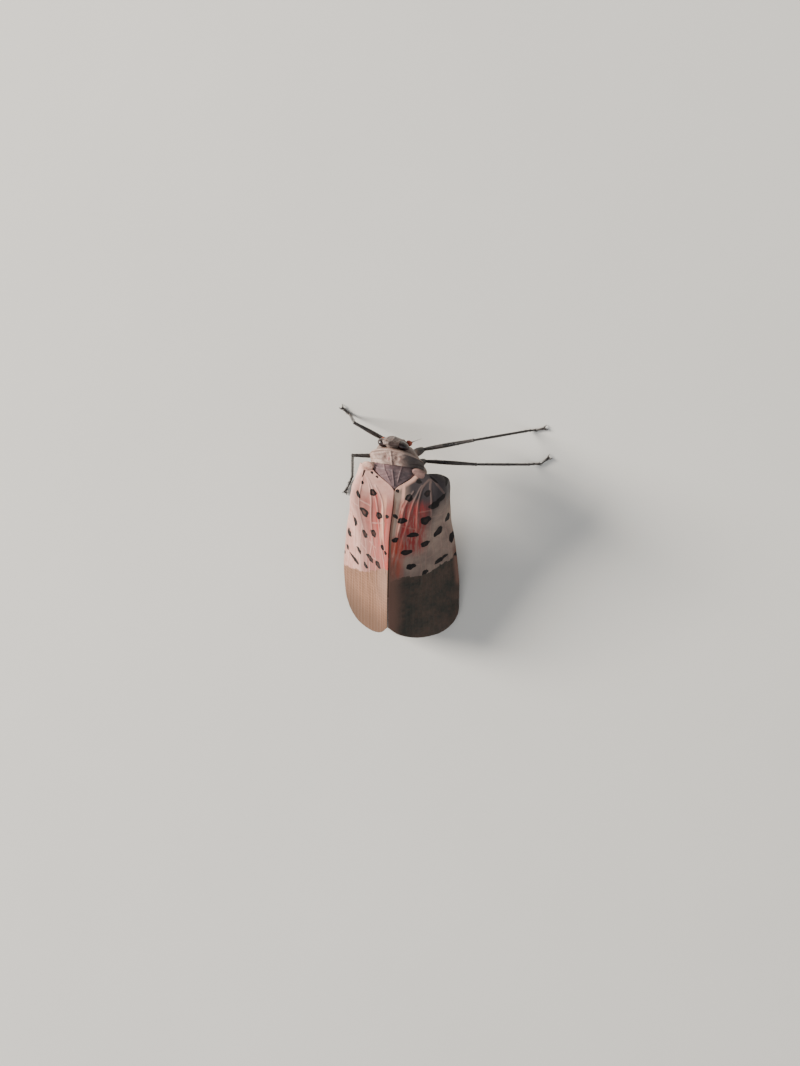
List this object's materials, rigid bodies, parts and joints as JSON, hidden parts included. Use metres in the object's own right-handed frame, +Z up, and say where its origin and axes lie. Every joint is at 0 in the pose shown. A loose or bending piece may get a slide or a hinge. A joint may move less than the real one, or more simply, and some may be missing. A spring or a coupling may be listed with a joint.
{
  "type": "spotted lanternfly",
  "caption": "Life-size still model of a spotted lanternfly at rest, its spotted wings folded like a roof, standing on its feet.",
  "frame": {"origin": "on the floor, under the middle of the model's box", "axes": "+Y towards the insect's head, +X to its right, +Z up from the floor"},
  "size_m": [0.0244, 0.0254, 0.0112],
  "materials": {
    "body_cuticle": "dull brown cuticle with a thin bloom of wax",
    "plate_cuticle": "pale pinkish grey cuticle, finely wrinkled",
    "eye": "dark faceted eye, glossy",
    "antenna": "orange, finely pitted",
    "forewing_membrane": "leathery pinkish grey membrane with black spots and raised veins",
    "hindwing_membrane": "thin red, white and black membrane",
    "abdomen_cuticle": "yellow cuticle with black bands",
    "leg_cuticle": "black cuticle, half gloss"
  },
  "bodies": {
    "root": {"head": "body_cuticle", "beak": "leg_cuticle", "pronotum": "plate_cuticle", "mesonotum": "plate_cuticle", "thorax": "body_cuticle", "abdomen": "abdomen_cuticle", "eye_right": "eye", "antenna_right": "antenna", "tegula_right": "plate_cuticle", "forewing_right": "forewing_membrane", "hindwing_right": "hindwing_membrane", "eye_left": "eye", "antenna_left": "antenna", "tegula_left": "plate_cuticle", "forewing_left": "forewing_membrane", "hindwing_left": "hindwing_membrane", "coxa_front_right": "body_cuticle", "femur_front_right": "leg_cuticle", "tibia_front_right": "leg_cuticle", "tarsus_front_right": "leg_cuticle", "coxa_front_left": "body_cuticle", "femur_front_left": "leg_cuticle", "tibia_front_left": "leg_cuticle", "tarsus_front_left": "leg_cuticle", "coxa_middle_right": "body_cuticle", "femur_middle_right": "leg_cuticle", "tibia_middle_right": "leg_cuticle", "tarsus_middle_right": "leg_cuticle", "coxa_middle_left": "body_cuticle", "femur_middle_left": "leg_cuticle", "tibia_middle_left": "leg_cuticle", "tarsus_middle_left": "leg_cuticle", "coxa_hind_right": "body_cuticle", "femur_hind_right": "leg_cuticle", "tibia_hind_right": "leg_cuticle", "tarsus_hind_right": "leg_cuticle", "coxa_hind_left": "body_cuticle", "femur_hind_left": "leg_cuticle", "tibia_hind_left": "leg_cuticle", "tarsus_hind_left": "leg_cuticle"}
  },
  "joints": []
}
